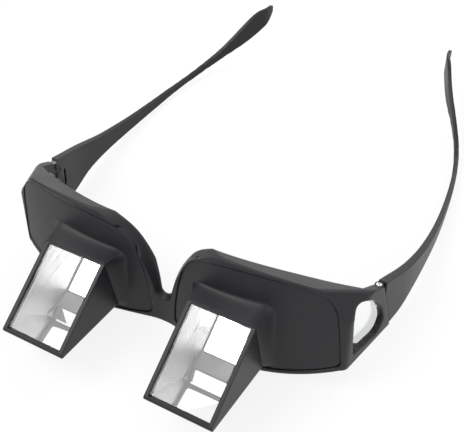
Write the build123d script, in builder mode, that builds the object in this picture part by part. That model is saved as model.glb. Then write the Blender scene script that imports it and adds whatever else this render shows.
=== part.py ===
"""Prism bed glasses: a wrap-round black front, two prism units and two folding temples.

They are drawn turned over, as they are photographed: X to the right, Y from the front
back to the temple tips, and Z up from the brow side to the cheek side. The finished
pieces are then tipped back together, until the brow edge and both temples lie on a table.
"""
import os
from math import atan2, cos, degrees, pi, radians, sin, sqrt, tan

from build123d import *

os.makedirs("parts", exist_ok=True)

# Front moulding: each half of its face is a cylinder, most forward at face_lead
half_width = 76.3          # outer half width at the hinges
face_radius = 110.0        # base curve of the face
face_lead = 29.0           # where each half stands furthest forward
bridge_half = 6.0          # half width of the bridge between the two face curves
wing_flare = 7.8           # degrees that the wings open outwards
wing_corner = 3.5          # round between face and wing
wing_wall = 3.5
shelf_wall = 2.4           # wall of the shelf over the eye
wing_height = 24.2         # from the straight brow edge of the wing to its cheek edge, at the hinge
cheek_slope = 26.0         # degrees that the cheek edge falls from the face to the hinge
brow_drop = 9.8            # lowest point of the brow edge under the straight edge of the wings
bridge_drop = 7.0          # brow edge at the bridge
notch_floor = 5.6          # floor of the nose notch
notch_round = 2.6          # round of its floor
notch_half = 12.0          # half width of the notch at the cheek corner of the plates
bridge_depth = 5.2         # front to back beside the notch, at the cheek side
bridge_thin = 2.8          # front to back at the floor of the notch
bevel_depth = 6.0          # depth of the bevel round the face
bevel_width = 2.4          # how much the bevel opens the notch towards the face
facet_height = 23.4        # where the facet of the temple-side cheek corner leaves the corner
facet_turn = 20.0          # degrees that the facet is turned from the wing towards the face
facet_rise = 33.0          # degrees that it looks up to the cheek side
edge_bevel = 0.8           # takes the edge off the facet and off the cheek side of the face

# Lens plates, each in a rebate of the front
plate_thickness = 1.6
plate_groove = 0.35        # groove seen all round a plate
plate_bevel = 0.5          # bevel of a plate's edge
plate_recess = 0.3         # how far a plate lies behind the rim
plate_ledge = 1.5          # ledge of the front behind a plate
plate_inner = 5.3          # nose end of a plate
plate_outer = 71.3         # temple end of a plate
plate_low = 7.4            # under the straight edge of the wings
plate_high = 36.5
plate_skew = 8.0           # how far the temple end is drawn up at the brow side
plate_lean = 8.5           # how far the nose end leans outwards at the cheek side
plate_big_round = 13.5
plate_small_round = 3.0

# Prism unit: collar on the plate, hood on the collar, prism inside
prism_centre = 32.1        # half the distance between the two units
hood_width = 27.8
hood_height = 24.0         # from the floor of the hood to its cheek side
hood_floor = 2.6           # under the straight edge of the wings
hood_reach = 38.7          # from the face to the nose edge of the hood
hood_back_high = 7.0       # from the face to the cheek edge of the hood
hood_back_low = 1.8        # from the face to the brow edge of the hood
hood_wall = 1.2
hood_nose_round = 1.2
window_side = 1.65         # rim of the window along its sides
window_low = 3.9           # rim of the window at its nose edge
window_high = 0.9          # rim of the window at the plate
collar_flare = 2.5         # how much wider the collar is at the plate, each side
collar_flare_high = 3.1
collar_flare_low = 3.0
prism_fit = 0.05
prism_back = 0.9           # from the most forward face line to the back of the prism
eye_ledge = 1.0            # ledge of the plate round the back of the prism
mirror_thickness = 0.5

# Side windows in the wings
pane_thickness = 1.0
pane_ledge = 1.3
pane_fit = 0.05
window_front = 11.2        # front edge of a side window, from the face
window_back = 33.8
window_floor = 2.4
window_top = 28.6
window_round = 2.2         # round of its lower front corner
window_big_round = 5.0     # rounds of its other corners

# Hinges: two knuckles of the temple hold one knuckle of the front
hinge_inset = 2.4          # hinge line inside the outer surface of the wing
hinge_y = 31.6
hinge_rise = 0.2           # end of the hinge above the cheek edge of the wing
knuckle_radius = 1.6
knuckle_clearance = 0.25
knuckle_gap = 0.2
top_knuckle = 2.0
front_knuckle = 2.6
low_knuckle = 2.0
screw_radius = 0.6
screw_fit = 0.05
screw_head_radius = 1.05
screw_head_height = 0.6
screw_slot = 0.3
seam_gap = 0.3
seam_lead = 0.6            # how far ahead of the hinge line the seam starts, at the cheek edge
seam_lean = 8.3            # how far the seam runs back from the cheek edge to the brow edge

# Temples: shares of the length from the hinge line, then of the wing height
temple_length = 139.4
temple_thickness = 3.0
tip_inset = 28.2           # how far the tip lies inside the start
temple_top_shares = [
    (0.00, 1.054), (0.120, 0.872), (0.235, 0.740), (0.407, 0.672), (0.579, 0.765),
    (0.694, 0.930), (0.795, 1.280), (0.863, 1.562), (0.930, 1.777), (0.989, 1.901),
]
temple_low_shares = [
    (0.053, 0.040), (0.134, 0.120), (0.249, 0.227), (0.421, 0.364), (0.593, 0.570),
    (0.708, 0.736), (0.824, 0.988), (0.900, 1.231), (0.962, 1.512), (0.999, 1.777),
]
temple_line_shares = [
    # along, out of the start line as a share of tip_inset, thickness
    (0.010, 0.000, 1.07), (0.121, 0.082, 1.00), (0.236, 0.103, 0.93), (0.365, 0.078, 0.90),
    (0.494, 0.007, 0.93), (0.623, -0.113, 1.00), (0.724, -0.284, 1.00), (0.810, -0.525, 0.87),
    (0.882, -0.773, 0.73), (0.946, -0.936, 0.60), (1.000, -1.000, 0.40),
]
slot_height = 8.2          # slot moulded in the inner face of each temple
slot_width = 1.3
slot_depth = 1.3
slot_back = 5.2            # from the hinge line to the slot
slot_middle = 14.0
rest_depth = 7.0           # where the brow edge touches the table, from the face
overrun = 3.0              # how far a cutter passes the surface that it cuts

hinge_x = half_width - hinge_inset
flare_slope = tan(radians(wing_flare))
seam_start = hinge_y - seam_lead
seam_end = seam_start + seam_lean
cheek_fall = tan(radians(cheek_slope))
cheek_height = wing_height + hinge_y * cheek_fall
reach_all = 2 * half_width


def face_y(x):
    """Depth of the face curve at a distance x from the middle."""
    return face_radius - sqrt(face_radius**2 - (x - face_lead) ** 2)


def wing_x(y):
    """Outer surface of the wing at a depth y."""
    return half_width + (y - hinge_y) * flare_slope


def cheek_z(y):
    """Height of the sloping cheek edge at a depth y."""
    return cheek_height - y * cheek_fall


def face_wing_corner():
    """Where the face curve and the wing line would meet in a sharp corner."""
    start = wing_x(0) - face_lead
    a = 1 + flare_slope**2
    b = 2 * (start * flare_slope - face_radius)
    y = (-b - sqrt(b**2 - 4 * a * start**2)) / (2 * a)
    return wing_x(y), y


bridge_face = face_y(bridge_half) + bridge_half * (face_lead - bridge_half) / face_radius / 2
corner_x, corner_y = face_wing_corner()


def plate_outline(grow):
    """Outline of a right-hand lens plate seen from the front, grown by an amount."""
    inner = plate_inner - grow
    outer = plate_outer + grow
    low = -plate_low - grow
    high = plate_high + grow
    nose_low = (inner, low + plate_low * 0.42)
    temple_low = (outer, low + plate_skew * 1.2)
    temple_high = (outer - plate_skew * 0.45, high - plate_skew * 0.17)
    nose_high = (inner + plate_lean, high - plate_skew * 0.45)
    with BuildSketch(Plane.XZ) as outline:
        with BuildLine():
            brow_side = ThreePointArc(
                nose_low, ((inner + outer) / 2 - plate_skew, low), temple_low
            )
            temple_side = ThreePointArc(
                brow_side @ 1, (outer - plate_skew * 0.15, high * 0.45), temple_high
            )
            cheek_side = ThreePointArc(
                temple_side @ 1, ((inner + outer) / 2 + plate_skew * 0.25, high), nose_high
            )
            ThreePointArc(
                cheek_side @ 1, (inner + plate_lean * 0.27, high * 0.39), brow_side @ 0
            )
        make_face()
        for corner, radius in (
            (nose_low, plate_small_round),
            (temple_low, plate_small_round),
            (temple_high, plate_big_round),
            (nose_high, plate_big_round * 0.9),
        ):
            fillet(outline.vertices().sort_by_distance(corner)[0], radius + grow)
    return outline.sketch


def face_slab(outline, front, back):
    """What an outline holds between two depths, both measured behind the face curve."""
    with BuildPart() as slab:
        extrude(outline, amount=half_width, both=True)
        with BuildSketch(Plane.XY.offset(-half_width)):
            with BuildLine():
                ends = [(0, face_y(0)), (face_lead, 0), (half_width, face_y(half_width))]
                front_arc = ThreePointArc(*[(x, y + front) for x, y in ends])
                back_arc = ThreePointArc(*[(x, y + back) for x, y in ends])
                Line(front_arc @ 0, back_arc @ 0)
                Line(front_arc @ 1, back_arc @ 1)
            make_face()
        extrude(amount=reach_all, mode=Mode.INTERSECT)
    return slab.part


def wing_window(grow):
    """Outline of the right-hand side window in the plane of X = 0, grown by an amount."""
    width = window_back - window_front
    height = window_top - window_floor
    front = window_front - grow * 0.4
    front_low = (front + width * 0.09, window_floor + height * 0.08 - grow)
    front_high = (front, window_top + height * 0.03 + grow)
    back_low = (window_back + width * 0.03 + grow, window_floor - height * 0.01 - grow)
    back = (window_front + width * 0.62 + grow * 0.7, window_floor + height * 0.76 + grow * 0.7)
    with BuildSketch(Plane.YZ) as outline:
        with BuildLine():
            Line(back_low, front_low)
            Line(front_low, front_high)
            ThreePointArc(front_high, back, back_low)
        make_face()
        for corner, radius in (
            (front_low, window_round),
            (front_high, window_big_round),
            (back_low, window_big_round),
        ):
            fillet(outline.vertices().sort_by_distance(corner)[0], radius + grow)
    return outline.sketch


def wing_slab(outline, depth, thickness):
    """What an outline holds in a layer of the wing that starts at a depth in its wall."""
    with BuildPart() as slab:
        extrude(outline, amount=reach_all)
        with BuildSketch(Plane.XY.offset(-half_width)):
            with BuildLine():
                Polyline(
                    (wing_x(0) - depth, 0),
                    (wing_x(half_width) - depth, half_width),
                    (wing_x(half_width) - depth - thickness, half_width),
                    (wing_x(0) - depth - thickness, 0),
                    close=True,
                )
            make_face()
        extrude(amount=reach_all, mode=Mode.INTERSECT)
    return slab.part


def hinge_cylinder(radius, low, high):
    """A cylinder on the right-hand hinge axis, between two heights."""
    with BuildPart() as cylinder:
        with BuildSketch(Plane.XY.offset(low)):
            with Locations((hinge_x, hinge_y)):
                Circle(radius)
        extrude(amount=high - low)
    return cylinder.part


# Heights of the knuckles, from the cheek side down
screw_top = wing_height + hinge_rise
top_knuckle_low = screw_top - top_knuckle
front_knuckle_high = top_knuckle_low - knuckle_gap
front_knuckle_low = front_knuckle_high - front_knuckle
low_knuckle_high = front_knuckle_low - knuckle_gap
low_knuckle_low = low_knuckle_high - low_knuckle
screw_low = low_knuckle_low + knuckle_gap

# The cheek corner at each temple side is cut by a facet
facet_turned = radians(facet_turn)
facet_raised = radians(facet_rise)
facet_plane = Plane(
    origin=(corner_x, corner_y, facet_height),
    x_dir=(sin(facet_turned), cos(facet_turned), 0),
    z_dir=(
        cos(facet_turned) * cos(facet_raised),
        -sin(facet_turned) * cos(facet_raised),
        sin(facet_raised),
    ),
)
with BuildPart() as corner_facets:
    with BuildSketch(facet_plane):
        Rectangle(2 * wing_height, 2 * wing_height)
    extrude(amount=wing_height)
    mirror(about=Plane.YZ)

# The bridge is thinnest at the floor of the notch and thickens towards the cheek side
with BuildPart() as bridge_relief:
    with BuildSketch(Plane.XY.offset(notch_floor)) as relief:
        with BuildLine():
            hollow = ThreePointArc(
                (-notch_half, bridge_face + bridge_depth),
                (0, bridge_face + bridge_thin),
                (notch_half, bridge_face + bridge_depth),
            )
            Polyline(hollow @ 1, (notch_half, hinge_y), (-notch_half, hinge_y), hollow @ 0)
        make_face()
    extrude(relief.sketch, amount=-(notch_floor + brow_drop + overrun))
    extrude(relief.sketch, amount=cheek_height, dir=(0, bridge_thin / wing_height, 1))

# Front frame: plan band, cut to its side view and its front view
with BuildPart() as front_frame:
    with BuildSketch(Plane.XY.offset(-brow_drop - overrun)) as band:
        with BuildLine():
            bridge = TangentArc(
                (0, bridge_face), (bridge_half, face_y(bridge_half)), tangent=(1, 0)
            )
            face = ThreePointArc(
                bridge @ 1, (plate_outer / 2, face_y(plate_outer / 2)), (corner_x, corner_y)
            )
            wing_end = seam_end + overrun
            wing = Line(face @ 1, (wing_x(wing_end), wing_end))
            end = Line(wing @ 1, (wing_x(wing_end) - wing_wall, wing_end))
            shelf_start = hinge_y * 0.7
            inner = Line(end @ 1, (wing_x(shelf_start) - wing_wall, shelf_start))
            shelf = Spline(
                inner @ 1,
                (half_width * 0.852, hinge_y * 0.582),
                (half_width * 0.72, hinge_y * 0.44),
                (half_width * 0.46, hinge_y * 0.228),
                (half_width * 0.275, hinge_y * 0.172),
                (0, bridge_face + bridge_depth),
                tangents=[(-1, -0.5), (-1, 0)],
            )
            Line(shelf @ 1, bridge @ 0)
        make_face()
        fillet(band.vertices().sort_by_distance((corner_x, corner_y))[0], wing_corner)
        mirror(about=Plane.YZ)
    extrude(amount=brow_drop + cheek_height + 2 * overrun)

    # side view: the cheek edge falls in one slope from the face to the hinge
    with BuildSketch(Plane.YZ.offset(-half_width - bevel_depth)):
        with BuildLine():
            Polyline(
                (-overrun, -brow_drop),
                (wing_end, -brow_drop),
                (wing_end, cheek_z(wing_end)),
                (-overrun, cheek_z(-overrun)),
                close=True,
            )
        make_face()
    extrude(amount=2 * (half_width + bevel_depth), mode=Mode.INTERSECT)
    add(corner_facets.part, mode=Mode.SUBTRACT)
    sharp_edges = []
    for side in (-1, 1):
        spot = facet_plane.from_local_coords((wing_height * 0.1, wing_height * 0.35))
        facet = front_frame.faces().sort_by_distance((side * spot.X, spot.Y, spot.Z))[0]
        cheek_edges = front_frame.edges().sort_by_distance((side * face_lead, 0, cheek_height))
        sharp_edges += facet.edges() + cheek_edges[:1]
    chamfer(sharp_edges, edge_bevel)
    add(bridge_relief.part, mode=Mode.SUBTRACT)


def notch_view(depth, widen):
    """The nose notch seen from the front, at a depth, wider by an amount."""
    with BuildSketch(Plane.XZ.offset(-depth)) as view:
        with BuildLine():
            floor = ThreePointArc(
                (0, notch_floor - widen),
                ((notch_round + widen) * 0.72, notch_floor - widen + (notch_round + widen) * 0.30),
                (notch_round + widen, notch_floor + notch_round),
            )
            flank = ThreePointArc(
                floor @ 1,
                (notch_half * 0.45 + widen, plate_high * 0.49),
                (notch_half + widen, plate_high * 0.82),
            )
            crown = ThreePointArc(
                flank @ 1,
                (notch_half * 1.45 + widen * 0.8, plate_high * 0.957),
                (notch_half * 2.7 + widen * 0.8, cheek_height),
            )
            Polyline(
                crown @ 1,
                (notch_half * 2.7 + widen * 0.8, cheek_height + 2 * overrun),
                (0, cheek_height + 2 * overrun),
                floor @ 0,
            )
        make_face()
        mirror(about=Plane.YZ)
    return view.sketch


# front view: the nose notch opens towards the face in a bevel, the brow edge is one sweep
with BuildPart() as notch:
    extrude(notch_view(bevel_depth, 0), amount=-hinge_y)
    loft(sections=[
        notch_view(bevel_depth, 0).faces()[0],
        notch_view(-overrun, bevel_width * (1 + overrun / bevel_depth)).faces()[0],
    ])

with BuildPart() as front_shape:
    with BuildSketch(Plane.XZ.offset(overrun)) as elevation:
        with BuildLine():
            middle_brow = ThreePointArc(
                (0, -bridge_drop),
                (face_lead * 0.41, -bridge_drop * 1.05),
                (face_lead, -brow_drop),
            )
            brow = ThreePointArc(
                middle_brow @ 1,
                (plate_outer * 0.72, -brow_drop * 0.70),
                (corner_x - wing_corner / 2, 0),
            )
            Polyline(
                brow @ 1,
                (half_width + 2 * overrun, 0),
                (half_width + 2 * overrun, cheek_height + overrun),
                (0, cheek_height + overrun),
                middle_brow @ 0,
            )
        make_face()
        mirror(about=Plane.YZ)
    extrude(amount=-(wing_end + 2 * overrun))
    add(notch.part, mode=Mode.SUBTRACT)

plate_seat = face_slab(plate_outline(plate_groove), -overrun, plate_recess + plate_thickness)
eye_way = face_slab(plate_outline(-plate_ledge), -overrun, hinge_y)
side_opening = wing_slab(wing_window(0), -overrun, wing_wall + 2 * overrun)
pane_seat = wing_slab(wing_window(pane_ledge), wing_wall - pane_thickness, pane_thickness)
pane_way = wing_slab(wing_window(pane_ledge), wing_wall - pane_thickness, 3 * wing_wall)

with BuildPart() as shelf_limit:
    # the eye space and the way in for the pane stay under the sloping shelf by its wall
    with BuildSketch(Plane.YZ):
        with BuildLine():
            Polyline(
                (-overrun, -brow_drop),
                (wing_end, -brow_drop),
                (wing_end, cheek_z(wing_end) - shelf_wall),
                (-overrun, cheek_z(-overrun) - shelf_wall),
                close=True,
            )
        make_face()
    extrude(amount=half_width)
    add(eye_way + pane_way, mode=Mode.INTERSECT)


def seam_block(gap):
    """Everything in the right-hand wing that lies behind the seam by a gap or more."""
    with BuildPart() as block:
        with BuildSketch(Plane.YZ.offset(half_width / 2)):
            with BuildLine():
                Polyline(
                    (seam_start + gap, wing_height + 2 * top_knuckle),
                    (seam_start + gap, wing_height),
                    (seam_end + gap, 0),
                    (seam_end + gap, -overrun),
                    (hinge_y + temple_length + overrun, -overrun),
                    (hinge_y + temple_length + overrun, 2 * wing_height),
                    close=True,
                )
            make_face()
        extrude(amount=half_width)
    return block.part


front_barrel = hinge_cylinder(knuckle_radius, front_knuckle_low, front_knuckle_high)
top_clear = hinge_cylinder(
    knuckle_radius + knuckle_clearance, front_knuckle_high, screw_top + 2 * overrun
)
low_clear = hinge_cylinder(
    knuckle_radius + knuckle_clearance, low_knuckle_low - knuckle_gap, front_knuckle_low
)
screw_hole = hinge_cylinder(screw_radius, -overrun, screw_top + overrun)

# room for the arm of the temple's lower knuckle to swing in
with BuildPart() as arm_clear:
    with BuildSketch(Plane.XY.offset(low_knuckle_low - knuckle_gap)):
        with Locations((hinge_x + knuckle_clearance, hinge_y - knuckle_radius - knuckle_clearance)):
            Rectangle(wing_wall, 2 * wing_wall, align=(Align.MAX, Align.MIN))
    extrude(amount=low_knuckle + 2 * knuckle_gap)

with BuildPart() as front_cuts:
    add(plate_seat)
    add(shelf_limit.part)
    add(side_opening)
    add(pane_seat)
    add(seam_block(0))
    add(top_clear)
    add(low_clear)
    add(arm_clear.part)
    mirror(about=Plane.YZ)

with BuildPart() as front_barrels:
    add(front_barrel)
    add(screw_hole, mode=Mode.SUBTRACT)
    mirror(about=Plane.YZ)

with BuildPart() as screw_holes:
    add(screw_hole)
    mirror(about=Plane.YZ)

front_frame.part = front_frame.part & front_shape.part
front_frame.part = front_frame.part - front_cuts.part
front_frame.part = front_frame.part + front_barrels.part
front_frame.part = front_frame.part - screw_holes.part


# Right-hand lens plate with its collar: the collar flares from the hood out to the plate
hood_high = hood_height - hood_floor
ridge_length = sqrt((hood_back_high - hood_back_low) ** 2 + hood_height**2)
ridge_tilt = degrees(atan2(hood_back_high - hood_back_low, hood_height))
ridge_plane = Plane(
    origin=(
        prism_centre, -(hood_back_high + hood_back_low) / 2, (hood_high - hood_floor) / 2
    ),
    x_dir=(1, 0, 0),
    z_dir=(0, -cos(radians(ridge_tilt)), -sin(radians(ridge_tilt))),
)
slope_angle = atan2(hood_height, hood_reach - hood_back_high)
prism_high = hood_high - hood_wall - prism_fit
prism_low = -hood_floor + hood_wall + mirror_thickness + 2 * prism_fit


def slope_y(z, depth):
    """Where a layer at a depth under the sloping side of the hood is, at a height."""
    return -hood_back_high + depth / sin(slope_angle) - (hood_high - z) / tan(slope_angle)


def prism_block(fit):
    """The space of the right-hand prism, grown all round by a fit."""
    half = hood_width / 2 - hood_wall - prism_fit + fit
    with BuildPart() as block:
        with BuildSketch(Plane.YZ.offset(prism_centre - half)):
            with BuildLine():
                Polyline(
                    (prism_back + fit, prism_low - fit),
                    (prism_back + fit, prism_high + fit),
                    (slope_y(prism_high + fit, hood_wall + prism_fit - fit), prism_high + fit),
                    (slope_y(prism_low - fit, hood_wall + prism_fit - fit), prism_low - fit),
                    close=True,
                )
            make_face()
        extrude(amount=2 * half)
    return block.part


with BuildPart() as lens_plate_right:
    add(face_slab(plate_outline(0), plate_recess, plate_recess + plate_thickness))
    front_face = lens_plate_right.faces().sort_by_distance((prism_centre, -overrun, 0))[0]
    chamfer(front_face.edges(), plate_bevel)
    with BuildSketch(ridge_plane):
        Rectangle(hood_width, ridge_length)
    collar_depth = face_y(prism_centre + hood_width / 2 + collar_flare) + plate_thickness * 0.6
    with BuildSketch(Plane.XZ.offset(-collar_depth)):
        with Locations((
            prism_centre + collar_flare * 0.1,
            (hood_high - hood_floor + collar_flare_high - collar_flare_low) / 2,
        )):
            Rectangle(
                hood_width + 2 * collar_flare,
                hood_height + collar_flare_high + collar_flare_low,
            )
    loft(ruled=True)
    add(
        face_slab(plate_outline(0), -hood_reach, plate_recess + plate_thickness),
        mode=Mode.INTERSECT,
    )
    add(prism_block(prism_fit), mode=Mode.SUBTRACT)
    with BuildSketch(Plane.XZ):
        with Locations((prism_centre, (prism_high + prism_low) / 2)):
            RectangleRounded(
                hood_width - 2 * (hood_wall + eye_ledge),
                prism_high - prism_low - 2 * eye_ledge,
                eye_ledge,
            )
    extrude(amount=-2 * collar_depth, mode=Mode.SUBTRACT)

# Right-hand hood: a wedge open at its back, with the window in its sloping side
with BuildPart() as prism_hood_right:
    with BuildSketch(Plane.YZ.offset(prism_centre - hood_width / 2)) as profile:
        with BuildLine():
            Polyline(
                (-hood_back_high, hood_high),
                (-hood_reach, -hood_floor),
                (-hood_back_low, -hood_floor),
                close=True,
            )
        make_face()
        fillet(profile.vertices().sort_by(Axis.X)[0], hood_nose_round)
    extrude(amount=hood_width)
    add(prism_block(prism_fit), mode=Mode.SUBTRACT)
    # room for the mirror, and the open back between the side walls
    with BuildSketch(Plane.YZ.offset(prism_centre - hood_width / 2 + hood_wall)):
        with BuildLine():
            Polyline(
                (slope_y(prism_low, hood_wall), prism_low),
                (slope_y(prism_low, hood_wall) + mirror_thickness, -hood_floor + hood_wall),
                (0, -hood_floor + hood_wall),
                (0, prism_low),
                close=True,
            )
        make_face()
    extrude(amount=hood_width - 2 * hood_wall, mode=Mode.SUBTRACT)
    window_plane = Plane(
        origin=(prism_centre, -hood_back_high, hood_high),
        x_dir=(1, 0, 0),
        z_dir=(0, -sin(slope_angle), cos(slope_angle)),
    )
    slope_length = hood_height / sin(slope_angle)
    with BuildSketch(window_plane):
        with Locations((0, -(slope_length + window_high - window_low) / 2)):
            Rectangle(hood_width - 2 * window_side, slope_length - window_high - window_low)
    extrude(amount=-hood_wall - prism_fit, mode=Mode.SUBTRACT)

with BuildPart() as prism_right:
    add(prism_block(0))

with BuildPart() as mirror_right:
    # silvered plate between the floor of the hood and the prism
    with BuildSketch(Plane.YZ.offset(prism_centre - hood_width / 2 + hood_wall + prism_fit)):
        with BuildLine():
            ridge_y = -hood_back_low - mirror_thickness
            Polyline(
                (slope_y(prism_low, hood_wall + 2 * prism_fit) + mirror_thickness, prism_low - prism_fit),
                (
                    slope_y(prism_low, hood_wall + 2 * prism_fit) + mirror_thickness,
                    prism_low - prism_fit - mirror_thickness,
                ),
                (ridge_y, prism_low - prism_fit - mirror_thickness),
                (ridge_y, prism_low - prism_fit),
                close=True,
            )
        make_face()
    extrude(amount=hood_width - 2 * (hood_wall + prism_fit))

# Right-hand side window: a clear pane held from inside the wing
with BuildPart() as side_window_right:
    add(wing_slab(wing_window(pane_ledge - pane_fit), wing_wall - pane_thickness + pane_fit,
                  pane_thickness - pane_fit))
    add(
        hinge_cylinder(
            knuckle_radius + knuckle_clearance, low_knuckle_low - knuckle_gap, screw_top
        ),
        mode=Mode.SUBTRACT,
    )
    add(arm_clear.part, mode=Mode.SUBTRACT)


def temple_point(along, out, thickness):
    """A point of the plan view beside the middle line of the right-hand temple."""
    start = wing_x(hinge_y) - temple_thickness * 0.52
    return start + out * tip_inset + thickness, hinge_y + along * temple_length


# Right-hand temple: side view crossed with plan view
with BuildPart() as temple_right:
    with BuildSketch(Plane.YZ.offset(half_width / 2)) as side_view:
        with BuildLine():
            top = Spline([
                (hinge_y + along * temple_length, height * wing_height)
                for along, height in temple_top_shares
            ])
            low = Spline([
                (hinge_y + along * temple_length, height * wing_height)
                for along, height in temple_low_shares
            ])
            ThreePointArc(
                top @ 1, (hinge_y + temple_length * 1.004, wing_height * 1.86), low @ 1
            )
            Polyline(low @ 0, (hinge_y, 0), top @ 0)
        make_face()
    extrude(amount=half_width / 2 + 2 * overrun)
    with BuildSketch() as plan_view:
        with BuildLine():
            outer = Spline(
                [
                    temple_point(along, out, thickness * temple_thickness / 2)
                    for along, out, thickness in temple_line_shares
                ],
                tangents=[(flare_slope, 1), (0, 1)],
            )
            inner = Spline(
                [
                    temple_point(along, out, -thickness * temple_thickness / 2)
                    for along, out, thickness in temple_line_shares
                ],
                tangents=[(flare_slope, 1), (0, 1)],
            )
            Line(outer @ 0, inner @ 0)
            Line(outer @ 1, inner @ 1)
        make_face()
    extrude(amount=2 * wing_height, mode=Mode.INTERSECT)
    add(seam_block(seam_gap), mode=Mode.INTERSECT)
    # knuckles above and below the front's, the lower one on an arm
    add(hinge_cylinder(knuckle_radius, top_knuckle_low, screw_top))
    add(hinge_cylinder(knuckle_radius, low_knuckle_low, low_knuckle_high))
    with BuildSketch(Plane.XY.offset(low_knuckle_low)):
        with BuildLine():
            Polyline(
                (hinge_x - knuckle_radius, hinge_y),
                (hinge_x, hinge_y),
                (hinge_x, hinge_y + seam_lean * 0.45),
                (hinge_x - knuckle_radius / 2, hinge_y + seam_lean * 0.45),
                (hinge_x - knuckle_radius, hinge_y + seam_lean * 0.25),
                close=True,
            )
        make_face()
    extrude(amount=low_knuckle)
    add(
        hinge_cylinder(
            knuckle_radius + knuckle_clearance, low_knuckle_high, top_knuckle_low
        ),
        mode=Mode.SUBTRACT,
    )
    add(hinge_cylinder(screw_radius, low_knuckle_low - overrun, screw_top + overrun),
        mode=Mode.SUBTRACT)
    add(
        hinge_cylinder(
            screw_head_radius + screw_fit, screw_top - screw_head_height, screw_top + overrun
        ),
        mode=Mode.SUBTRACT,
    )
    with BuildSketch(Plane.YZ.offset(hinge_x - 2 * slot_depth)):
        with Locations(Location((hinge_y + slot_back, slot_middle), -3)):
            SlotOverall(slot_height, slot_width, rotation=90)
    extrude(amount=3 * slot_depth, mode=Mode.SUBTRACT)

# Right-hand hinge screw: slotted head let into the top knuckle
with BuildPart() as hinge_screw_right:
    with BuildSketch(Plane.XY.offset(screw_low)):
        with Locations((hinge_x, hinge_y)):
            Circle(screw_radius - screw_fit)
    extrude(amount=screw_top - screw_low)
    with BuildSketch(Plane.XY.offset(screw_top - screw_head_height + screw_fit)):
        with Locations((hinge_x, hinge_y)):
            Circle(screw_head_radius)
    extrude(amount=screw_head_height)
    with BuildSketch(Plane.XY.offset(screw_top + screw_fit)):
        with Locations((hinge_x, hinge_y)):
            Rectangle(screw_slot, 2 * screw_head_radius + overrun, rotation=35)
    extrude(amount=-screw_head_height / 2, mode=Mode.SUBTRACT)

# Left-hand pieces
with BuildPart() as lens_plate_left:
    mirror(lens_plate_right.part, about=Plane.YZ)

with BuildPart() as prism_hood_left:
    mirror(prism_hood_right.part, about=Plane.YZ)

with BuildPart() as prism_left:
    mirror(prism_right.part, about=Plane.YZ)

with BuildPart() as mirror_left:
    mirror(mirror_right.part, about=Plane.YZ)

with BuildPart() as side_window_left:
    mirror(side_window_right.part, about=Plane.YZ)

with BuildPart() as temple_left:
    mirror(temple_right.part, about=Plane.YZ)

with BuildPart() as hinge_screw_left:
    mirror(hinge_screw_right.part, about=Plane.YZ)

# Tip everything back onto the table: brow edge and both temples touch it
rest_slopes = [
    (height * wing_height + brow_drop) / (hinge_y + along * temple_length - rest_depth)
    for along, height in temple_low_shares
]
rest_tilt = degrees(atan2(min(rest_slopes), 1))
tipped = Rot(-rest_tilt, 0, 0)
span = Compound([
    piece.moved(tipped)
    for piece in (front_frame.part, temple_right.part, temple_left.part, prism_hood_right.part)
]).bounding_box()
rest = Pos(0, -span.center().Y, -span.min.Z) * tipped

front_frame.part = front_frame.part.moved(rest)
front_frame.part.label = "front_frame"
export_step(front_frame.part, "parts/front_frame.step")

lens_plate_left.part = lens_plate_left.part.moved(rest)
lens_plate_left.part.label = "lens_plate_left"
export_step(lens_plate_left.part, "parts/lens_plate_left.step")

lens_plate_right.part = lens_plate_right.part.moved(rest)
lens_plate_right.part.label = "lens_plate_right"
export_step(lens_plate_right.part, "parts/lens_plate_right.step")

prism_hood_left.part = prism_hood_left.part.moved(rest)
prism_hood_left.part.label = "prism_hood_left"
export_step(prism_hood_left.part, "parts/prism_hood_left.step")

prism_hood_right.part = prism_hood_right.part.moved(rest)
prism_hood_right.part.label = "prism_hood_right"
export_step(prism_hood_right.part, "parts/prism_hood_right.step")

prism_left.part = prism_left.part.moved(rest)
prism_left.part.label = "prism_left"
export_step(prism_left.part, "parts/prism_left.step")

prism_right.part = prism_right.part.moved(rest)
prism_right.part.label = "prism_right"
export_step(prism_right.part, "parts/prism_right.step")

mirror_left.part = mirror_left.part.moved(rest)
mirror_left.part.label = "mirror_left"
export_step(mirror_left.part, "parts/mirror_left.step")

mirror_right.part = mirror_right.part.moved(rest)
mirror_right.part.label = "mirror_right"
export_step(mirror_right.part, "parts/mirror_right.step")

side_window_left.part = side_window_left.part.moved(rest)
side_window_left.part.label = "side_window_left"
export_step(side_window_left.part, "parts/side_window_left.step")

side_window_right.part = side_window_right.part.moved(rest)
side_window_right.part.label = "side_window_right"
export_step(side_window_right.part, "parts/side_window_right.step")

temple_left.part = temple_left.part.moved(rest)
temple_left.part.label = "temple_left"
export_step(temple_left.part, "parts/temple_left.step")

temple_right.part = temple_right.part.moved(rest)
temple_right.part.label = "temple_right"
export_step(temple_right.part, "parts/temple_right.step")

hinge_screw_left.part = hinge_screw_left.part.moved(rest)
hinge_screw_left.part.label = "hinge_screw_left"
export_step(hinge_screw_left.part, "parts/hinge_screw_left.step")

hinge_screw_right.part = hinge_screw_right.part.moved(rest)
hinge_screw_right.part.label = "hinge_screw_right"
export_step(hinge_screw_right.part, "parts/hinge_screw_right.step")
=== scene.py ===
"""Prism bed glasses, put down on their brow edge: a black front with two mirrored prisms."""
import math

import bmesh
import bpy
import numpy as np
from mathutils import Matrix, Vector


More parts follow.
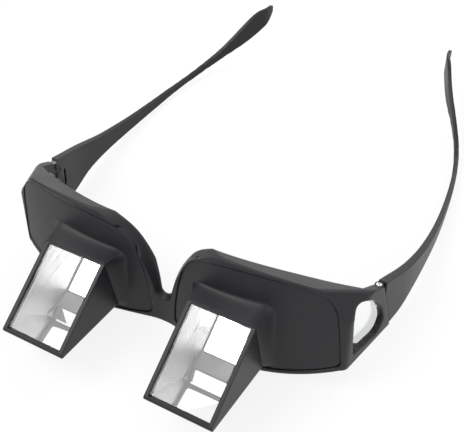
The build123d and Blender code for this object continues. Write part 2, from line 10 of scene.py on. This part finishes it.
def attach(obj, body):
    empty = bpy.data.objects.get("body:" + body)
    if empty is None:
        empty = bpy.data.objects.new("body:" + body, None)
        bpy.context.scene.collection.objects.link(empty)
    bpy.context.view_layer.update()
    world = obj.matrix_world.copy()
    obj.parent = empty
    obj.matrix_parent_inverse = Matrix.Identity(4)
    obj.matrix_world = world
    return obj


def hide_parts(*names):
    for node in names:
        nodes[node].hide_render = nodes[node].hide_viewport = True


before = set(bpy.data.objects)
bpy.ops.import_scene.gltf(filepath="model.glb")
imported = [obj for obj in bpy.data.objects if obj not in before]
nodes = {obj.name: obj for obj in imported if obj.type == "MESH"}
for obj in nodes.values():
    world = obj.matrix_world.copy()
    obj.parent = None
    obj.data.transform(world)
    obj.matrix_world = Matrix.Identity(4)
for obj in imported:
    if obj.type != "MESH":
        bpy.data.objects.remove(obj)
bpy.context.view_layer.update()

scene = bpy.context.scene
scene.view_settings.view_transform = "Standard"


# Camera: a long lens in front of the glasses, to the wearer's right and well above them. Its
# place is measured with the face of the glasses upright, and it is then tipped back with the
# face, by the angle at which they lie on the table.
TILT = math.radians(12.4053)
SHIFT = (0, -70.5149, 11.1268)  # from the upright glasses' origin to that on the table, mm
camera_place = (0.1483, -0.1944, 0.2364)
camera_heading = math.radians(30.85)
camera_drop = math.radians(38.0)

tipped = Matrix.Translation(Vector(SHIFT) / 1000) @ Matrix.Rotation(-TILT, 4, "X")
aimed_down = Matrix.Rotation(math.pi / 2 - camera_drop, 4, "X")
turned = Matrix.Rotation(camera_heading, 4, "Z") @ aimed_down
camera_data = bpy.data.cameras.new("photo_camera")
camera_data.lens = 68.8
camera_data.sensor_width = 36.0
camera_data.clip_start, camera_data.clip_end = 0.02, 50.0
camera = bpy.data.objects.new("photo_camera", camera_data)
camera.matrix_world = tipped @ Matrix.Translation(camera_place) @ turned
scene.collection.objects.link(camera)
scene.camera = camera


# Floor: a white table top in a white room with three soft boxes. Both stay white where the
# camera, the glass and the metal see them, while the light that they throw is plainer, so
# that the black plastic keeps its depth.
def feed(node, inputs):
    """Each input is joined to the socket that is given for it, or set to the plain value."""
    for name, value in inputs.items():
        if isinstance(value, bpy.types.NodeSocket):
            node.id_data.links.new(value, node.inputs[name])
        else:
            node.inputs[name].default_value = value


def add_node(tree, kind, inputs, **settings):
    """A new shader node with its settings, and then its inputs."""
    made = tree.nodes.new("ShaderNode" + kind)
    for name, value in settings.items():
        setattr(made, name, value)
    feed(made, inputs)
    return made


def worked_out(tree, operation, *terms):
    """The result of an operation on sockets or plain numbers."""
    return add_node(tree, "Math", dict(enumerate(terms)), operation=operation).outputs["Value"]


def ranged(tree, value, low, high, from_low=0.0, from_high=1.0):
    """A value between from_low and from_high, spread evenly from low to high and held there."""
    ends = {"From Min": from_low, "From Max": from_high, "To Min": low, "To Max": high}
    return add_node(tree, "MapRange", {"Value": value, **ends}).outputs["Result"]


def fresh_material(name):
    """A node material, its tree and its Principled shader."""
    made = bpy.data.materials.new(name)
    made.use_nodes = True
    return made, made.node_tree, made.node_tree.nodes["Principled BSDF"]


def seen_directly(tree):
    """1 where the camera, a mirror or glass sees the surface, 0 where it only throws light."""
    rays = add_node(tree, "LightPath", {}).outputs
    direct = worked_out(tree, "MAXIMUM", rays["Is Camera Ray"], rays["Is Glossy Ray"])
    return worked_out(tree, "MAXIMUM", direct, rays["Is Transmission Ray"])


def put_on(piece, material):
    """The piece shows this one material."""
    piece.data.materials.clear()
    piece.data.materials.append(material)


bpy.ops.mesh.primitive_plane_add(size=6)
floor = bpy.context.object
floor.name = "floor"
white, tree, shader = fresh_material("floor_white")
feed(shader, {"Base Color": (0.9, 0.9, 0.9, 1), "Roughness": 0.9, "Specular IOR Level": 0.0})
glow = add_node(tree, "Emission", {"Color": (1, 1, 1, 1)})
glow_share = worked_out(tree, "MULTIPLY", seen_directly(tree), 0.85)
lit = add_node(tree, "MixShader", {
    "Fac": glow_share, 1: shader.outputs["BSDF"], 2: glow.outputs["Emission"],
})
feed(tree.nodes["Material Output"], {"Surface": lit.outputs["Shader"]})
put_on(floor, white)

world = bpy.data.worlds.new("studio")
world.use_nodes = True
tree = world.node_tree
feed(tree.nodes["Background"], {
    "Color": (1, 1, 1, 1), "Strength": ranged(tree, seen_directly(tree), 0.6, 1.0),
})
scene.world = world


def soft_light(name, place, aim, size, power):
    """A square soft box at a place, turned to shine on a point."""
    data = bpy.data.lights.new(name, "AREA")
    data.shape = "SQUARE"
    data.size, data.energy = size, power
    light = bpy.data.objects.new(name, data)
    light.location = place
    light.rotation_mode = "QUATERNION"
    light.rotation_quaternion = (Vector(aim) - Vector(place)).to_track_quat("-Z", "Y")
    scene.collection.objects.link(light)


soft_light("key", place=(-0.5, -0.3, 0.9), aim=(0, -0.02, 0.02), size=0.6, power=6.5)
soft_light("fill", place=(0.8, -0.6, 0.6), aim=(0, -0.02, 0.02), size=0.7, power=3)
soft_light("rim", place=(0.1, 0.9, 0.7), aim=(0, 0.0, 0.02), size=0.7, power=5)


# Moulded plastic: the front, the plates with their collars, the hoods and the temples are
# black injection mouldings, satin from a finely eroded mould, with edges that the tool leaves
# soft and that handling polishes a little.
def noise(tree, scale, detail, vector=None):
    """The value of a noise over Object coordinates, or over another vector."""
    if vector is None:
        vector = add_node(tree, "TexCoord", {}).outputs["Object"]
    inputs = {"Vector": vector, "Scale": scale, "Detail": detail}
    return add_node(tree, "TexNoise", inputs).outputs["Fac"]


def moulding_group():
    """Grain, uneven gloss and soft edges of the black plastic, with a painted highlight on the
    edges, as colour, roughness and normal.
    """
    # the edges' polish, and a painted highlight that makes the edges paler
    edge_polish, edge_highlight = -0.08, 0.35  # on the roughness and the tone
    made = bpy.data.node_groups.new("moulded_plastic", "ShaderNodeTree")
    for name, kind, value in (
        ("Color", "NodeSocketColor", (0.02, 0.02, 0.02, 1)),
        ("Roughness", "NodeSocketFloat", 0.4),
        ("Grain", "NodeSocketFloat", 0.1),
        ("Edge", "NodeSocketFloat", 0.001),
    ):
        made.interface.new_socket(name, in_out="INPUT", socket_type=kind).default_value = value
    for name, kind in (
        ("Color", "NodeSocketColor"),
        ("Roughness", "NodeSocketFloat"),
        ("Normal", "NodeSocketVector"),
    ):
        made.interface.new_socket(name, in_out="OUTPUT", socket_type=kind)
    given = made.nodes.new("NodeGroupInput").outputs
    result = made.nodes.new("NodeGroupOutput")

    # the mould's fine grain, over a normal that rounds the edges
    rounded = add_node(made, "Bevel", {"Radius": given["Edge"]}, samples=6).outputs["Normal"]
    bump = add_node(made, "Bump", {
        "Distance": 0.0001, "Strength": given["Grain"], "Normal": rounded,
        "Height": noise(made, scale=2600, detail=3),
    })

    # edges, where the rounded normal leaves the true one, are polished, and a painted highlight
    # makes them a little paler
    true_normal = add_node(made, "NewGeometry", {}).outputs["Normal"]
    turn = add_node(made, "VectorMath", {0: rounded, 1: true_normal}, operation="DOT_PRODUCT")
    edge = ranged(made, turn.outputs["Value"], 0, 1, from_low=0.995, from_high=0.86)

    # broad patches of gloss and tone, as on handled plastic
    patches = noise(made, scale=70, detail=5)
    satin = worked_out(made, "ADD", given["Roughness"], ranged(made, patches, -0.06, 0.06))
    polished = worked_out(made, "MULTIPLY_ADD", edge, edge_polish, satin)
    tone = ranged(made, patches, 0.92, 1.08)
    # the random tone, with the painted edge highlight added on the edges
    tone_and_edge_highlight = worked_out(made, "MULTIPLY_ADD", edge, edge_highlight, tone)
    paint = add_node(made, "VectorMath", {0: given["Color"], "Scale": tone_and_edge_highlight}, operation="SCALE")
    feed(result, {
        "Color": paint.outputs["Vector"], "Roughness": polished, "Normal": bump.outputs["Normal"],
    })
    return made


moulding = moulding_group()
black = (0.0128, 0.0126, 0.0150, 1)


def black_plastic(name, roughness, grain, edge):
    """One of the black mouldings, with its own gloss, grain and roundness of edge (metres)."""
    made, tree, shader = fresh_material(name)
    inputs = {"Color": black, "Roughness": roughness, "Grain": grain, "Edge": edge}
    skin = add_node(tree, "Group", inputs, node_tree=moulding).outputs
    feed(shader, {
        "Base Color": skin["Color"], "Roughness": skin["Roughness"], "Normal": skin["Normal"],
        "Specular IOR Level": 0.28,
    })
    return made


# Front: one moulding with the rims round both plates, the low bridge, the shelf over the eyes
# and the wings, which wrap round to the side windows and the hinges. Its corners are the
# softest of all the pieces.
front_plastic = black_plastic("front_plastic", roughness=0.42, grain=0.12, edge=0.0013)
put_on(nodes["front_frame"], front_plastic)


# Lens plates: a curved opaque plate on each side, set in its rim behind a fine groove, and
# moulded in one with the drafted collar that carries the hood. The collar's flanks run out
# into the plate in a soft hollow. Sizes are in millimetres, with the glasses upright.
middle = np.array([32.1, 9.4])  # of the collar and its hood, across and up
hood_half_width, hood_half_height = 13.9, 12.0
face_radius, foremost = 110, 29  # of the face curve, and where across it is foremost
rim_reach = 7.0  # of the collar's slanting rim in front of the face, at its top
rim_slant = 5.2  # how much less it reaches at the bottom
root = np.array([(-16.6, 13.2), (15.6, 15.2), (16.6, -14.8), (-16.4, -14.6)])  # from the middle
flank_out_shares = (0, 0.62, 0.95, 1.35)  # of the way from the hood out to the flanks' root
flank_up_shares = (1, 0.38, 0, 0)  # of the way from the plate up to the rim
flank_margin = 0.9  # that the flanks keep from the plate's edge
plate_front, plate_back = 0.3, 1.9  # behind the face curve
edge_round = 0.5
ledge = 0.95  # depth at which the prism's back stops
eye_opening = (-11.7, 11.7, -9.2, 11.7)  # left, right, low and high from the middle
seat_at_rim = (-12.7, 12.7, -10.25, 10.95)
seat_at_ledge = (-12.7, 12.7, -10.25, 12.5)
points_around, flank_rings, plate_rings, back_rings = 420, 13, 9, 8


def lie_down(x, y, z):
    """Upright millimetres (x right, y back, z to the cheek side) as metres on the table."""
    return np.stack([
        x + SHIFT[0],
        y * math.cos(TILT) + z * math.sin(TILT) + SHIFT[1],
        z * math.cos(TILT) - y * math.sin(TILT) + SHIFT[2],
    ], axis=-1) / 1000


def stand_up(points):
    """Metres on the table as upright millimetres, the way back from lie_down."""
    x, y, z = np.moveaxis(points * 1000 - SHIFT, -1, 0)
    return np.stack([
        x, y * math.cos(TILT) - z * math.sin(TILT), z * math.cos(TILT) + y * math.sin(TILT),
    ], axis=-1)


def solid_mesh(node):
    """Corners (metres on the table), triangles and edges of a solid, equal corners joined."""
    data = node.data
    spots = np.empty(len(data.vertices) * 3)
    data.vertices.foreach_get("co", spots)
    corners = np.empty(len(data.polygons) * 3, dtype=int)
    data.polygons.foreach_get("vertices", corners)
    spots, same = np.unique(spots.reshape(-1, 3).round(8), axis=0, return_inverse=True)
    faces = same.reshape(-1)[corners].reshape(-1, 3)
    edges = np.unique(np.sort(faces[:, [0, 1, 1, 2, 2, 0]].reshape(-1, 2), axis=1), axis=0)
    return spots, faces, edges


def mesh_of(name, spots, faces):
    """A mesh from its corners and faces."""
    data = bpy.data.meshes.new(name)
    data.from_pydata(spots.tolist(), [], faces.tolist())
    return data


def piece_of(data):
    """The mesh as a piece in the scene, under the mesh's own name."""
    made = bpy.data.objects.new(data.name, data)
    scene.collection.objects.link(made)
    return made


def shade(data, sharp):
    """Smooth shading, except at edges sharper than so many degrees."""
    data.shade_smooth()
    data.set_sharp_from_angle(angle=math.radians(sharp))


def farthest(angles, starts, ends):
    """How far a ray at each angle reaches: its last crossing with the segments between two
    rows of points, where it meets them at radius = start x side / ray x side."""
    slack, nearly_none = 1e-6, 1e-9
    ray = np.stack([np.cos(angles), np.sin(angles)], axis=-1)[:, None]
    side = (ends - starts)[None]
    turn = ray[..., 0] * side[..., 1] - ray[..., 1] * side[..., 0]
    turn = np.where(np.abs(turn) < nearly_none, nearly_none, turn)
    radius = (starts[:, 0] * side[..., 1] - starts[:, 1] * side[..., 0]) / turn
    along = (starts[:, 0] * ray[..., 1] - starts[:, 1] * ray[..., 0]) / turn
    hit = (radius > 0) & (along >= -slack) & (along <= 1 + slack)
    return np.where(hit, radius, 0).max(axis=1)


def farthest_of_shape(angles, corners):
    """How far a ray at each angle reaches to a closed shape with these corners."""
    return farthest(angles, corners, np.roll(corners, -1, axis=0))


def box(left, right, low, high):
    """The corners of a rectangle."""
    return np.array([(left, low), (right, low), (right, high), (left, high)], dtype=float)


def bowed(angles, outline, corners):
    """The outline with its short straight runs bowed out: between two near corners of the
    solid the radius goes evenly over the angle, a little further out to fill the gap beside
    them. Elsewhere the run stays straight."""
    short_run, gap, slack = 7, 0.2, 0.03
    turn, reach = np.arctan2(corners[:, 1], corners[:, 0]), np.hypot(corners[:, 0], corners[:, 1])
    on_rim = reach > np.interp(turn, angles, outline, period=2 * math.pi) - slack
    order = np.argsort(turn[on_rim])
    turn, reach = turn[on_rim][order], reach[on_rim][order]
    after = np.searchsorted(turn, angles) % len(turn)
    rim = np.stack([reach * np.cos(turn), reach * np.sin(turn)], axis=-1)
    run = np.hypot(*(rim[after] - rim[after - 1]).T)
    even = np.interp(angles, turn, reach, period=2 * math.pi)
    return np.where(run < short_run, np.maximum(outline, even) + gap, outline)


def softened(radius, steps):
    """A closed row of radii with its corners rounded: a mean over neighbours, cosine weights."""
    reach = np.arange(-steps, steps + 1)
    weight = 1 + np.cos(np.pi * reach / (steps + 1))
    return sum(w * np.roll(radius, k) for w, k in zip(weight / weight.sum(), reach))


def closed_rings(name, rings):
    """A closed mesh from rings of points: each ring joins the next, and the last the first."""
    spots = np.stack(rings)
    count, around = spots.shape[:2]
    here = np.arange(count * around).reshape(count, around)
    right = np.roll(here, -1, axis=1)
    faces = np.stack([here, right, np.roll(right, -1, axis=0), np.roll(here, -1, axis=0)], axis=-1)
    spots, faces = spots.reshape(-1, 3), faces.reshape(-1, 4)
    a, b, c, d = (spots[faces[:, k]] for k in range(4))
    inside_out = np.einsum("ij,ij->", a, np.cross(c - a, d - b)) < 0
    return mesh_of(name, spots, faces[:, ::-1] if inside_out else faces)


def cubic(s, first, second, third, fourth):
    """A cubic curve: first (1-s)^3 + 3 second s(1-s)^2 + 3 third s^2(1-s) + fourth s^3."""
    rest = 1 - s
    return first * rest**3 + 3 * s * rest**2 * second + 3 * s**2 * rest * third + s**3 * fourth


def lens_plate(side, node):
    """A plate with its collar, as rings round the middle of the hood, each a radius over the
    angle. A ring's depth is a share of the face curve, y = R - (R^2 - (x - foremost)^2)^0.5,
    plus one of the slanting rim, y = slant x (share of the way down) - reach, plus a plain
    depth. Collar: radius and depth follow one cubic curve from the hood's rim to the plate.
    Plate: the radius grows from there to the solid's own outline. Edge: a quarter circle.
    Back, eye opening, ledge and seat close it."""
    angles = np.linspace(-math.pi, math.pi, points_around, endpoint=False)
    spots, _, edges = solid_mesh(node)
    flat = stand_up(spots)[:, [0, 2]] * (side, 1) - middle
    outline = farthest(angles, flat[edges[:, 0]], flat[edges[:, 1]])
    outline = softened(bowed(angles, outline, flat), steps=2)
    hood_box = (-hood_half_width, hood_half_width, -hood_half_height, hood_half_height)
    hood = softened(farthest_of_shape(angles, box(*hood_box)), steps=1)
    flank_end = softened(farthest_of_shape(angles, root), steps=16)
    eye = softened(farthest_of_shape(angles, box(*eye_opening)), steps=3)

    def ring(radius, depth, face=1.0, rim=0.0):
        """Points at a radius, with a plain depth and the shares of face curve and rim."""
        x = middle[0] + radius * np.cos(angles)
        z = middle[1] + radius * np.sin(angles)
        face_depth = face_radius - np.sqrt(face_radius**2 - (x - foremost) ** 2)
        way_down = (middle[1] + hood_half_height - z) / (2 * hood_half_height)
        rim_depth = rim_slant * way_down - rim_reach
        return lie_down(x * side, depth + face * face_depth + rim * rim_depth, z)

    rings = []
    for s in np.linspace(0, 1, flank_rings):
        flank = hood + cubic(s, *flank_out_shares) * (flank_end - hood)
        flank = np.minimum(flank, outline - flank_margin)
        up = cubic(s, *flank_up_shares)
        rings.append(ring(flank, plate_front * (1 - up), face=1 - up, rim=up))
    for s in np.linspace(0.1, 1, plate_rings):
        rings.append(ring(flank + (outline - edge_round - flank) * s, plate_front))
    for turn in np.radians((30, 60, 90)):
        out, back = edge_round * math.sin(turn), edge_round * (1 - math.cos(turn))
        rings.append(ring(outline - edge_round + out, plate_front + back))
    for s in np.linspace(0, 1, back_rings):
        rings.append(ring(outline + (eye - outline) * s, plate_back))
    rings.append(ring(eye, ledge, face=0))
    rings.append(ring(farthest_of_shape(angles, box(*seat_at_ledge)), ledge, face=0))
    rings.append(ring(farthest_of_shape(angles, box(*seat_at_rim)), 0, face=0, rim=1))
    data = closed_rings(node.name + "_soft", rings)
    shade(data, sharp=38)
    return piece_of(data)


plate_plastic = black_plastic("plate_plastic", roughness=0.44, grain=0.12, edge=0.0008)
for name, side in (("lens_plate_left", -1), ("lens_plate_right", 1)):
    plate = lens_plate(side, nodes[name])
    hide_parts(name)
    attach(plate, "front")
    put_on(plate, plate_plastic)


# Hoods: wedge-shaped boxes of the same black plastic, with a closed floor and a large window
# to the front. They are welded to the collars along the slanting rim, and their edges are
# crisper than those of the front.
hood_plastic = black_plastic("hood_plastic", roughness=0.4, grain=0.1, edge=0.0007)
for name in ("prism_hood_left", "prism_hood_right"):
    put_on(nodes[name], hood_plastic)


# Prisms: blocks of clear cast plastic. Window, back and top are polished, and the two sides
# are left ground. The top falls to the front, so that it throws the view out at the back. The
# floor is silvered, and a pale tape over the top holds the prism in its seat.
top_rise = 1.5  # of the rear edge of the top, over that of the solid, mm
film_half_width, film_thickness = 12.6, 0.03
floor_film = ((-34.1, -0.84), (0.45, -0.84))  # front and back edge: depth and height
top_film = ((-6.4, 20.22), (0.85, 21.67))
film_faces = np.array([
    (0, 1, 3, 2), (4, 6, 7, 5), (0, 4, 5, 1), (2, 3, 7, 6), (0, 2, 6, 4), (1, 5, 7, 3),
])


def prism_block(node):
    """The solid prism with the rear edge of its top raised."""
    spots, faces, _ = solid_mesh(node)
    x, y, z = stand_up(spots).T
    rear_top = (y > 0) & (z > middle[1])
    raised = lie_down(x, y, z + top_rise * rear_top)
    return piece_of(mesh_of(node.name + "_polished", raised, faces))


def blended(tree, share, first, second):
    """The first colour, going over to the second by a share."""
    inputs = {"Factor": share, "A": first, "B": second}
    return add_node(tree, "Mix", inputs, data_type="RGBA").outputs["Result"]


def prism_plastic():
    """Clear plastic whose two sides are ground: streaked by the grinding belt, a little grey."""
    made, tree, shader = fresh_material("prism_acrylic")
    place = add_node(tree, "TexCoord", {}).outputs
    across = add_node(tree, "SeparateXYZ", {"Vector": place["Normal"]}).outputs["X"]
    sideways = 0.95  # a face that looks more to the side than this is ground
    ground = worked_out(tree, "GREATER_THAN", worked_out(tree, "ABSOLUTE", across), sideways)

    # belt marks: noise drawn out along one direction
    along_belt = add_node(tree, "Mapping", {
        "Vector": place["Object"], "Rotation": (math.radians(52), 0, 0), "Scale": (300, 45, 600),
    })
    marks = noise(tree, scale=1, detail=4, vector=along_belt.outputs["Vector"])
    dull = ranged(tree, marks, 0.5, 0.62, from_low=0.3, from_high=0.7)
    feed(shader, {
        "Base Color": blended(tree, ground, (1, 1, 1, 1), (0.96, 0.96, 0.99, 1)),
        "Roughness": worked_out(tree, "MULTIPLY", dull, ground),
        "IOR": 1.52,
        "Transmission Weight": 1.0,
    })
    return made


def film(name, side, front, back):
    """A film under or over a prism, between its front and its back edge."""
    corners = np.array([
        (x, y, z + up)
        for x in (side * middle[0] - film_half_width, side * middle[0] + film_half_width)
        for y, z in (front, back)
        for up in (0, film_thickness)
    ])
    return piece_of(mesh_of(name, lie_down(*corners.T), film_faces))


silver, tree, shader = fresh_material("silvering")
clouds = noise(tree, scale=180, detail=4)
feed(shader, {
    "Base Color": blended(tree, clouds, (0.95, 0.95, 0.96, 1), (0.90, 0.91, 0.92, 1)),
    "Roughness": ranged(tree, clouds, 0.0, 0.03),
    "Metallic": 1.0,
})
tape, tree, shader = fresh_material("prism_tape")
wetted = ranged(tree, noise(tree, scale=260, detail=3), 0, 1, from_low=0.4, from_high=0.6)
feed(shader, {
    "Base Color": blended(tree, wetted, (0.48, 0.48, 0.52, 1), (0.72, 0.72, 0.76, 1)),
    "Roughness": 0.7,
})
clear = prism_plastic()
for word, side in (("left", -1), ("right", 1)):
    block = prism_block(nodes["prism_" + word])
    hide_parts("prism_" + word)
    silvering = film("silvering_" + word, side, *floor_film)
    top_tape = film("prism_tape_" + word, side, *top_film)
    for piece, material in ((block, clear), (silvering, silver), (top_tape, tape)):
        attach(piece, "front")
        put_on(piece, material)
    put_on(nodes["mirror_" + word], silver)


# Side windows: thin panes of clear acrylic, let into the openings of the wings. They let the
# wearer see to the side, and are hazed a little by rubbing.
pane, tree, shader = fresh_material("window_acrylic")
rubbed = noise(tree, scale=400, detail=6)
feed(shader, {
    "Base Color": (0.97, 0.98, 0.98, 1),
    "Roughness": ranged(tree, rubbed, 0.0, 0.12, from_low=0.45, from_high=0.75),
    "IOR": 1.49,
    "Transmission Weight": 1.0,
})
for name in ("side_window_left", "side_window_right"):
    put_on(nodes[name], pane)


# Temples: arms of the same plastic, tall and stiff at the hinge, drawn down to a slender
# spring in the middle, with a leaf-shaped tip that hooks round the ear. All sizes are in
# millimetres, and places along the arm are shares of its length.
arm_start, arm_length = 31.6, 139.4
first_cut, last_cut, cut_step = 46, 170, 2.0
arm_marks = (0.10, 0.17, 0.25, 0.33, 0.4, 0.47, 0.55, 0.62, 0.7, 0.76, 0.82, 0.87, 0.92, 0.96, 1)
high_moves = (0, 0, -0.5, -0.3, -0.3, -0.3, -0.4, -0.5, -1.2, -2.4, -2.4, 0.8, 2.8, 2.5, 0.4)
low_moves = (0, 1.9, 2.1, 1.9, 1.8, 1.8, 1.6, 1.9, 2.3, 2.9, 3.8, 4.4, 3.3, 2.3, 0.4)
width_shares = (1, 1, 0.95, 0.85, 0.78, 0.72, 0.68, 0.66, 0.66, 0.66, 0.68, 0.75, 0.85, 0.9, 1)
tip_share = 0.1


def cut_across(spots, faces):
    """The arm as a mesh for editing, cut across in even steps so that its long faces can bend."""
    shape = bmesh.new()
    corners = [shape.verts.new(spot) for spot in spots.tolist()]
    for face in faces.tolist():
        shape.faces.new([corners[k] for k in face])
    backward = Vector(lie_down(0, 1, 0) - lie_down(0, 0, 0)).normalized()
    for depth in np.arange(first_cut, last_cut + cut_step / 2, cut_step):
        point = Vector(lie_down(0, depth, 0))
        everything = shape.verts[:] + shape.edges[:] + shape.faces[:]
        bmesh.ops.bisect_plane(shape, geom=everything, dist=1e-7, plane_co=point, plane_no=backward)
    return shape


def slender_temple(side, node):
    """The solid temple drawn slimmer. At a share t of its length, a point's height share h
    between the solid's lower and upper edge stays, and the two edges move: z + (1-h) low(t) +
    h high(t), at the tip level with the table; its distance from the middle line is scaled
    by width(t)."""
    spots, faces, _ = solid_mesh(node)
    shape = cut_across(spots, faces)
    points = stand_up(np.array([v.co for v in shape.verts]))
    x, y, z = points[:, 0] * side, points[:, 1], points[:, 2]
    t = (y - arm_start) / arm_length

    # the solid's own edges, found at stations along the arm
    nearby, beyond, least_height = 0.011, 1e9, 0.1
    stations = np.linspace(0.05, 1, 96)
    near = np.abs(t[:, None] - stations[None]) < nearby

    def limits(values):
        """The least and the greatest of the values near each station."""
        least = np.where(near, values[:, None], beyond).min(axis=0)
        return least, np.where(near, values[:, None], -beyond).max(axis=0)

    low, high = limits(z)
    inner, outer = limits(x)
    low_here, high_here = np.interp(t, stations, low), np.interp(t, stations, high)
    midline = np.interp(t, stations, (outer + inner) / 2)
    share = np.clip((z - low_here) / np.maximum(high_here - low_here, least_height), 0, 1)

    # the moves at each point, their kinks smoothed by a mean over neighbouring hundredths
    spread = 3
    hundredths = np.linspace(arm_marks[0], 1, 91)

    def eased(row):
        """A row of values at the marks, smoothed, at each point."""
        fine = np.pad(np.interp(hundredths, arm_marks, row), spread, mode="edge")
        weights = np.ones(2 * spread + 1) / (2 * spread + 1)
        return np.interp(t, hundredths, np.convolve(fine, weights, mode="valid"))

    rise = share * eased(high_moves) + (1 - share) * eased(low_moves)
    at_tip = np.clip((t - (1 - tip_share)) / tip_share, 0, 1)
    level = y - rise * math.tan(TILT) * at_tip
    slim = midline + (x - midline) * eased(width_shares)
    for vertex, spot in zip(shape.verts, lie_down(slim * side, level, z + rise)):
        vertex.co = spot
    data = bpy.data.meshes.new(node.name + "_soft")
    shape.to_mesh(data)
    shape.free()
    shade(data, sharp=30)
    return piece_of(data)


temple_plastic = black_plastic("temple_plastic", roughness=0.4, grain=0.1, edge=0.0009)
for word, side in (("left", -1), ("right", 1)):
    arm = slender_temple(side, nodes["temple_" + word])
    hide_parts("temple_" + word)
    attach(arm, word + "_temple")
    put_on(arm, temple_plastic)


# Hinge screws: small slotted screws of turned steel, each put in through the knuckles of its
# hinge from the cheek side. The lathe left fine marks on them.
steel, tree, shader = fresh_material("screw_steel")
place = add_node(tree, "TexCoord", {}).outputs["Object"]
lathe_marks = add_node(
    tree, "TexWave", {"Vector": place, "Scale": 4000},
    wave_type="RINGS", rings_direction="SPHERICAL",
)
feed(shader, {
    "Base Color": (0.36, 0.355, 0.35, 1),
    "Roughness": ranged(tree, lathe_marks.outputs["Fac"], 0.22, 0.38),
    "Metallic": 1.0,
})
for name in ("hinge_screw_left", "hinge_screw_right"):
    put_on(nodes[name], steel)
